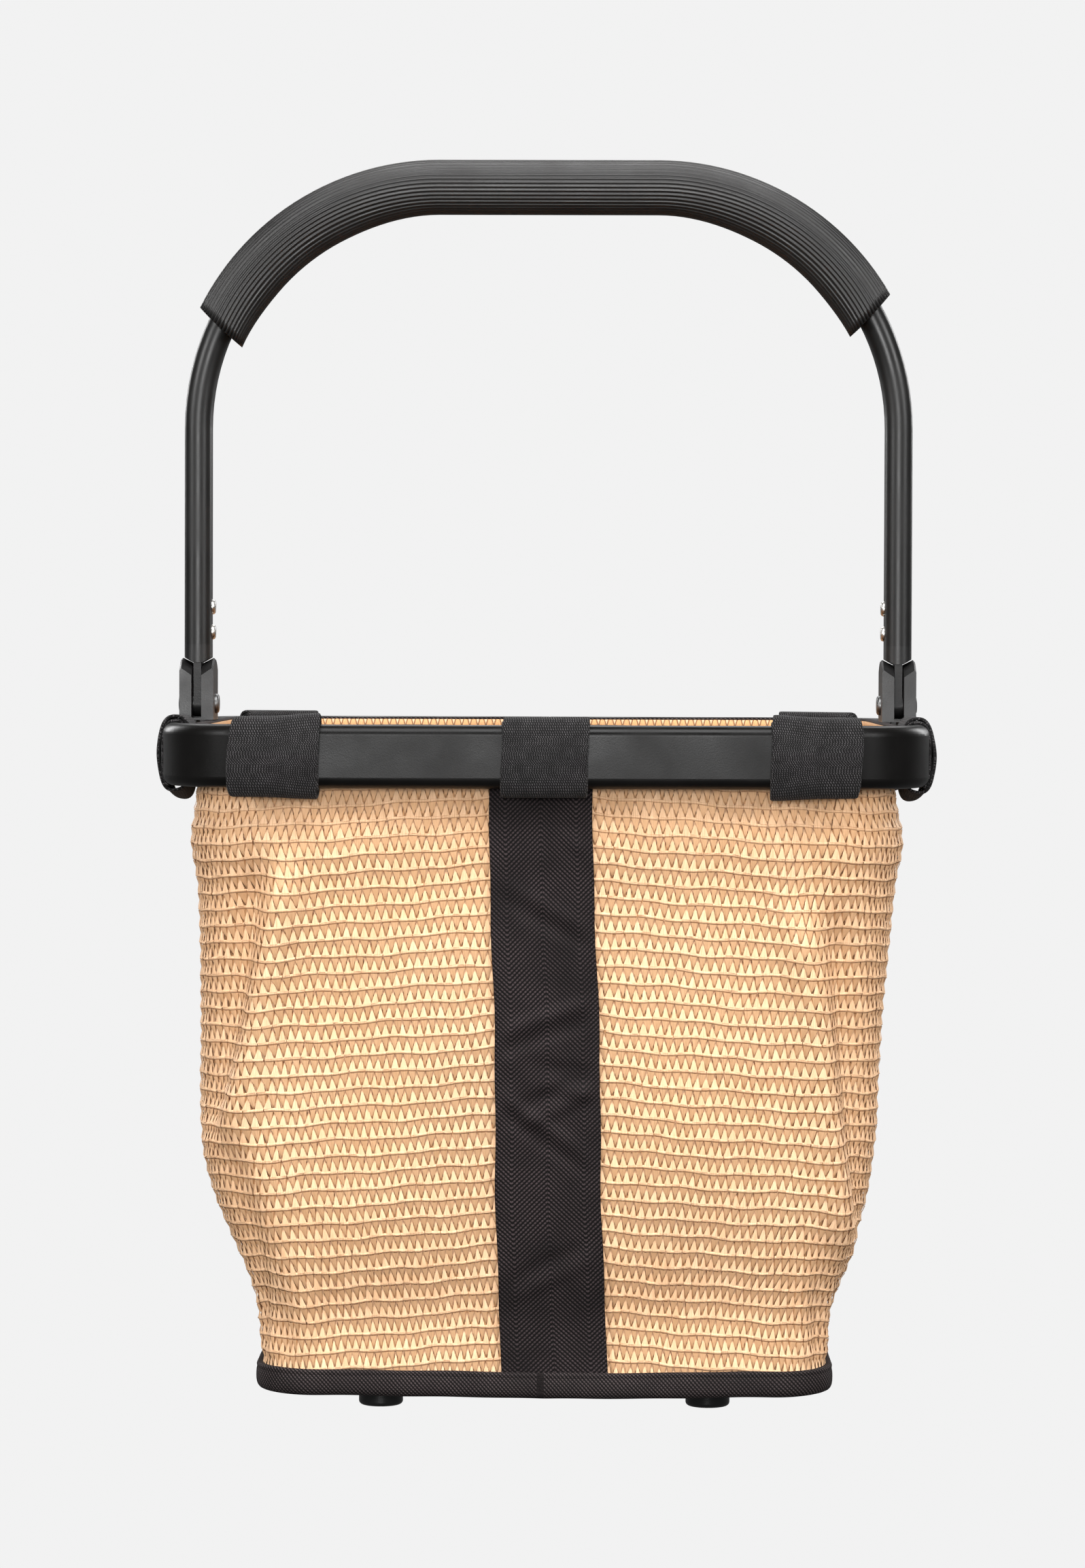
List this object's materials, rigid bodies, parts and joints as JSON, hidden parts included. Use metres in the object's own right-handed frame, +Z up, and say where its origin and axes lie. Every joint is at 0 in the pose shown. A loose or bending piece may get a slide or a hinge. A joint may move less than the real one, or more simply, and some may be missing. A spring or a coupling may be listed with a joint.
{
  "type": "handlebar basket",
  "caption": "Woven raffia bicycle basket hung by straps in an oval tube rim, with a folding carry handle and a quick-release handlebar clamp.",
  "frame": {"origin": "on the floor under the middle of the whole object's box", "axes": "+X to the basket's left-hand side as seen from behind it (the right of the front view), +Y back towards the handlebar, +Z up; the front of the basket faces -Y"},
  "size_m": [0.3474, 0.3374, 0.5695],
  "materials": {
    "rim_black": "satin black powder coat",
    "handle_black": "satin black powder coat",
    "grip_rubber": "matt, fine lengthwise ribs",
    "hinge_plastic": "satin moulded nylon",
    "zinc_steel": "zinc plated",
    "inner_aluminium": "mill finish",
    "raffia": "woven raffia braid, tan, slight sheen",
    "black_webbing": "black fine-weave polyester",
    "hook_loop": "charcoal brushed nylon loop pile",
    "board_plastic": "matt sheet",
    "foot_plastic": "black, low gloss",
    "adapter_plastic": "fine-textured glass-filled nylon",
    "button_plastic": "satin grey",
    "bolt_steel": "black oxide steel",
    "spring_steel": "spring wire"
  },
  "bodies": {
    "basket": {"rim_tube": "rim_black", "rim_joint_sleeve": "inner_aluminium", "rim_joint_rivets": "zinc_steel", "bracket_rivets": "zinc_steel", "hinge_bracket_left": "hinge_plastic", "hinge_bracket_right": "hinge_plastic", "hinge_pin_left": "zinc_steel", "hinge_pin_right": "zinc_steel", "weave_panel_left": "raffia", "weave_panel_right": "raffia", "seam_strip_front": "black_webbing", "seam_strip_back": "black_webbing", "hem_binding": "black_webbing", "base_binding": "black_webbing", "base_cloth": "black_webbing", "base_board": "board_plastic", "feet": "foot_plastic", "foot_screws": "zinc_steel", "foot_nuts": "zinc_steel", "adapter_plate": "adapter_plastic", "plate_screws": "zinc_steel", "rivet_nuts": "inner_aluminium", "bracket_body": "adapter_plastic", "bracket_cover": "adapter_plastic", "cover_screws": "bolt_steel", "clamp_cap_left": "adapter_plastic", "clamp_cap_right": "adapter_plastic", "clamp_bolts": "bolt_steel", "clamp_inserts": "inner_aluminium", "button_springs": "spring_steel", "strap_front_left": "hook_loop", "strap_front_middle": "hook_loop", "strap_front_right": "hook_loop", "strap_back_left": "hook_loop", "strap_back_right": "hook_loop", "strap_left_front": "hook_loop", "strap_left_rear": "hook_loop", "strap_right_front": "hook_loop", "strap_right_rear": "hook_loop"},
    "handle": {"handle_tube": "handle_black", "handle_grip": "grip_rubber", "handle_rivets": "zinc_steel", "handle_end_left": "hinge_plastic", "handle_end_right": "hinge_plastic", "hinge_washers": "board_plastic"},
    "release_button": {"release_button": "button_plastic"},
    "latch_bolt": {"latch_bolt": "bolt_steel"}
  },
  "joints": [
    {"name": "handle_fold", "type": "hinge", "parent": "basket", "child": "handle", "pos_m": [0, -0.0315, 0.3165], "axis": [1, 0, 0], "range_deg": [-80, 80]},
    {"name": "button_press", "type": "slide", "parent": "basket", "child": "release_button", "axis": [0, 0, -1], "range_m": [0, 0.005], "stiffness_N_per_m": 1200, "springref_m": -0.003, "deforming": ["button_springs"]},
    {"name": "latch_draw", "type": "slide", "parent": "basket", "child": "latch_bolt", "axis": [0, 1, 0], "range_m": [0, 0.005]}
  ],
  "couplings": [
    {"joint": "latch_draw", "follows": "button_press", "ratio": 1}
  ]
}
